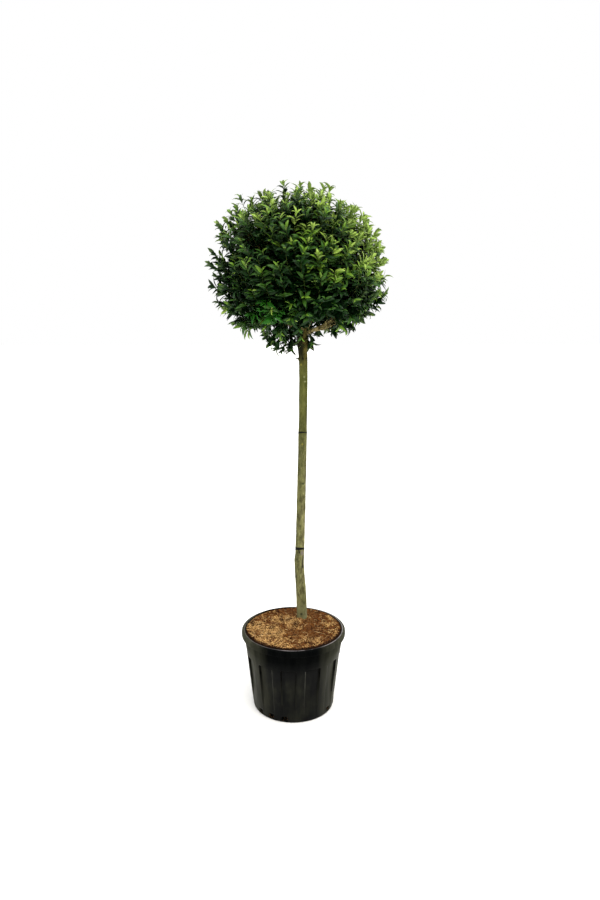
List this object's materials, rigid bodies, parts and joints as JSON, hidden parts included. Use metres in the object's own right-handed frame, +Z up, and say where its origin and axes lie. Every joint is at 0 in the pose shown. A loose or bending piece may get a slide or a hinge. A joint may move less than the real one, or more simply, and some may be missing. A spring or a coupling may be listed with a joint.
{
  "type": "portuguese laurel standard in a nursery pot",
  "caption": "Ball-headed evergreen laurel tree on a clear bare stem, planted in a tapered black nursery pot filled with bark compost.",
  "frame": {"origin": "centre of the pot's flat underside", "axes": "+Z up the stem, -Y towards the side that the picture shows, +X to that view's right"},
  "size_m": [1.3172, 1.2963, 3.5783],
  "materials": {
    "pot_plastic": "matt moulded black plastic",
    "bark_compost": "loose fibrous bark compost",
    "stem_bark": "smooth olive bark",
    "bough_bark": "smooth brown and green bark",
    "laurel_leaf": "glossy evergreen leaf",
    "tie_rubber": "matt black rubber"
  },
  "bodies": {
    "root": {"pot": "pot_plastic", "compost": "bark_compost", "stem": "stem_bark", "bough_leader": "bough_bark", "bough_lower_1": "bough_bark", "bough_lower_2": "bough_bark", "bough_lower_3": "bough_bark", "bough_lower_4": "bough_bark", "bough_lower_5": "bough_bark", "bough_upper_1": "bough_bark", "bough_upper_2": "bough_bark", "bough_upper_3": "bough_bark", "bough_upper_4": "bough_bark", "foliage_lower_1": "laurel_leaf", "foliage_lower_2": "laurel_leaf", "foliage_lower_3": "laurel_leaf", "foliage_lower_4": "laurel_leaf", "foliage_lower_5": "laurel_leaf", "foliage_upper_1": "laurel_leaf", "foliage_upper_2": "laurel_leaf", "foliage_upper_3": "laurel_leaf", "foliage_upper_4": "laurel_leaf", "foliage_top": "laurel_leaf", "stem_tie_1": "tie_rubber", "stem_tie_2": "tie_rubber"}
  },
  "joints": []
}
